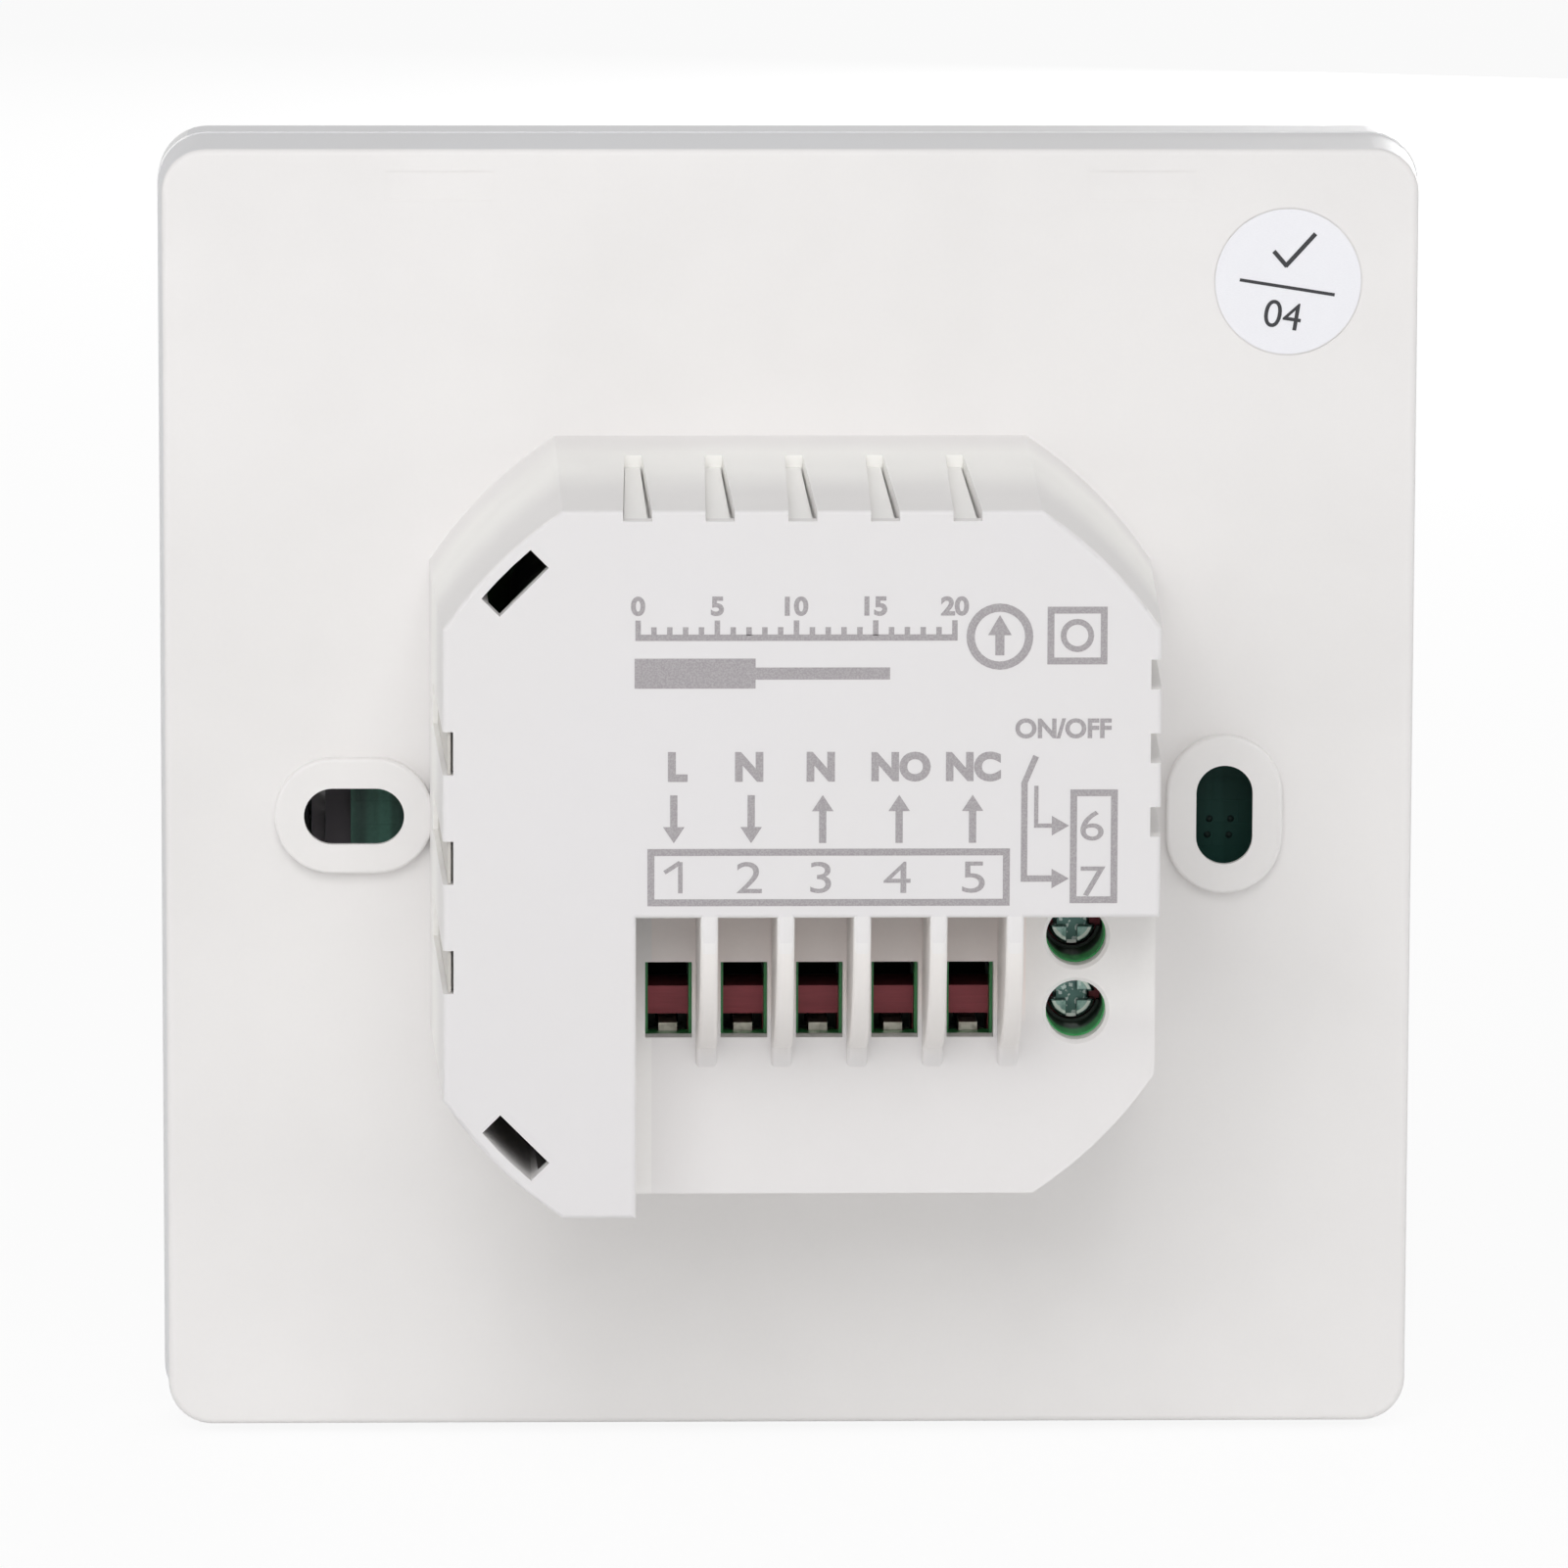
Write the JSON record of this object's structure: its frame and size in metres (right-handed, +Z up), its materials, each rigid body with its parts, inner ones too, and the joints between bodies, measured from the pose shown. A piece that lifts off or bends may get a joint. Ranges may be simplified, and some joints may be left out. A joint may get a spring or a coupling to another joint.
{
  "type": "wifi room thermostat",
  "caption": "Flush wall thermostat seen from its wiring side: square panel, drafted box with vents, stepped recess with ribbed screw terminals, pull-off display cover.",
  "frame": {"origin": "on the wall plane, midway between the two wall-screw slots", "axes": "+X to the right as seen from the wiring side, +Y out of the wall towards the room, +Z up"},
  "size_m": [0.087, 0.0422, 0.09],
  "materials": {
    "housing_white": "fine matt moulding",
    "cover_white": "fine matt moulding",
    "window_plate": "polished",
    "display_glass": "polished",
    "black_plastic": "matt",
    "light_guide": "milky",
    "lamp_white": "clear",
    "board_green": "solder mask",
    "terminal_green": "moulded",
    "cage_red": "plated",
    "steel": "plated",
    "tinned": "tinned",
    "relay_case": "moulded",
    "ferrite": "sintered",
    "winding_tape": "taped",
    "capacitor_sleeve": "shrink sleeve",
    "film_yellow": "moulded",
    "varistor_blue": "dipped",
    "fuse_brown": "moulded",
    "chip_black": "moulded",
    "shield_metal": "tinned",
    "foam": "foam",
    "label_paper": "paper",
    "print_ink": "pad print",
    "disc_ink": "printed",
    "lit_segments": "lit",
    "key_print": "printed"
  },
  "bodies": {
    "rear": {"board_screws": "steel", "bulk_capacitor": "capacitor_sleeve", "contact_bars_1_to_5": "tinned", "contact_bars_6_and_7": "tinned", "dry_contact_relay": "relay_case", "film_capacitor": "film_yellow", "fuse": "fuse_brown", "header_socket": "black_plastic", "inspection_disc": "label_paper", "notch_shield": "housing_white", "output_capacitor": "capacitor_sleeve", "output_relay": "relay_case", "power_board": "board_green", "power_chips": "chip_black", "rear_housing": "housing_white", "terminal_housing_1_to_5": "terminal_green", "terminal_housing_6_and_7": "terminal_green", "transformer_base": "black_plastic", "transformer_core": "ferrite", "transformer_winding": "winding_tape", "varistor": "varistor_blue", "vent_shield": "housing_white"},
    "front": {"backlight_guide": "light_guide", "backlight_lamps": "lamp_white", "buzzer": "black_plastic", "cell_holder": "black_plastic", "coin_cell": "shield_metal", "controller_chip": "chip_black", "display_board": "board_green", "display_carrier": "black_plastic", "display_chips": "chip_black", "display_glass": "display_glass", "display_screws": "steel", "front_frame": "cover_white", "front_lens": "window_plate", "header_pins": "tinned", "radio_board": "board_green", "radio_shield": "shield_metal", "room_sensor": "chip_black", "touch_pads": "foam"},
    "screw_1": {"terminal_screw_1": "steel"},
    "cage_1": {"clamp_cage_1": "cage_red"},
    "screw_2": {"terminal_screw_2": "steel"},
    "cage_2": {"clamp_cage_2": "cage_red"},
    "screw_3": {"terminal_screw_3": "steel"},
    "cage_3": {"clamp_cage_3": "cage_red"},
    "screw_4": {"terminal_screw_4": "steel"},
    "cage_4": {"clamp_cage_4": "cage_red"},
    "screw_5": {"terminal_screw_5": "steel"},
    "cage_5": {"clamp_cage_5": "cage_red"},
    "screw_6": {"terminal_screw_6": "steel"},
    "cage_6": {"clamp_cage_6": "cage_red"},
    "screw_7": {"terminal_screw_7": "steel"},
    "cage_7": {"clamp_cage_7": "cage_red"}
  },
  "joints": [
    {"name": "front_pull_off", "type": "slide", "parent": "rear", "child": "front", "axis": [0, 1, 0], "range_m": [0, 0.025]},
    {"name": "terminal_screw_1_turn", "type": "hinge", "parent": "rear", "child": "screw_1", "pos_m": [-0.00866, -0.0142, -0.0175], "axis": [0, 0, -1], "range_deg": [0, 1442]},
    {"name": "clamp_cage_1_rise", "type": "slide", "parent": "rear", "child": "cage_1", "axis": [0, 0, 1], "range_m": [0, 0.002]},
    {"name": "terminal_screw_2_turn", "type": "hinge", "parent": "rear", "child": "screw_2", "pos_m": [-0.00358, -0.0142, -0.0175], "axis": [0, 0, -1], "range_deg": [0, 1442]},
    {"name": "clamp_cage_2_rise", "type": "slide", "parent": "rear", "child": "cage_2", "axis": [0, 0, 1], "range_m": [0, 0.002]},
    {"name": "terminal_screw_3_turn", "type": "hinge", "parent": "rear", "child": "screw_3", "pos_m": [0.0015, -0.0142, -0.0175], "axis": [0, 0, -1], "range_deg": [0, 1442]},
    {"name": "clamp_cage_3_rise", "type": "slide", "parent": "rear", "child": "cage_3", "axis": [0, 0, 1], "range_m": [0, 0.002]},
    {"name": "terminal_screw_4_turn", "type": "hinge", "parent": "rear", "child": "screw_4", "pos_m": [0.00658, -0.0142, -0.0175], "axis": [0, 0, -1], "range_deg": [0, 1442]},
    {"name": "clamp_cage_4_rise", "type": "slide", "parent": "rear", "child": "cage_4", "axis": [0, 0, 1], "range_m": [0, 0.002]},
    {"name": "terminal_screw_5_turn", "type": "hinge", "parent": "rear", "child": "screw_5", "pos_m": [0.01166, -0.0142, -0.0175], "axis": [0, 0, -1], "range_deg": [0, 1442]},
    {"name": "clamp_cage_5_rise", "type": "slide", "parent": "rear", "child": "cage_5", "axis": [0, 0, 1], "range_m": [0, 0.002]},
    {"name": "terminal_screw_6_turn", "type": "hinge", "parent": "rear", "child": "screw_6", "pos_m": [0.0188, -0.0137, -0.00505], "axis": [0, -1, 0], "range_deg": [0, 1442]},
    {"name": "clamp_cage_6_rise", "type": "slide", "parent": "rear", "child": "cage_6", "axis": [0, 1, 0], "range_m": [0, 0.002]},
    {"name": "terminal_screw_7_turn", "type": "hinge", "parent": "rear", "child": "screw_7", "pos_m": [0.0188, -0.0137, -0.01013], "axis": [0, -1, 0], "range_deg": [0, 1442]},
    {"name": "clamp_cage_7_rise", "type": "slide", "parent": "rear", "child": "cage_7", "axis": [0, 1, 0], "range_m": [0, 0.002]}
  ],
  "couplings": [
    {"joint": "terminal_screw_1_turn", "follows": "clamp_cage_1_rise", "rad_per_m": 12566},
    {"joint": "terminal_screw_2_turn", "follows": "clamp_cage_2_rise", "rad_per_m": 12566},
    {"joint": "terminal_screw_3_turn", "follows": "clamp_cage_3_rise", "rad_per_m": 12566},
    {"joint": "terminal_screw_4_turn", "follows": "clamp_cage_4_rise", "rad_per_m": 12566},
    {"joint": "terminal_screw_5_turn", "follows": "clamp_cage_5_rise", "rad_per_m": 12566},
    {"joint": "terminal_screw_6_turn", "follows": "clamp_cage_6_rise", "rad_per_m": 12566},
    {"joint": "terminal_screw_7_turn", "follows": "clamp_cage_7_rise", "rad_per_m": 12566}
  ]
}
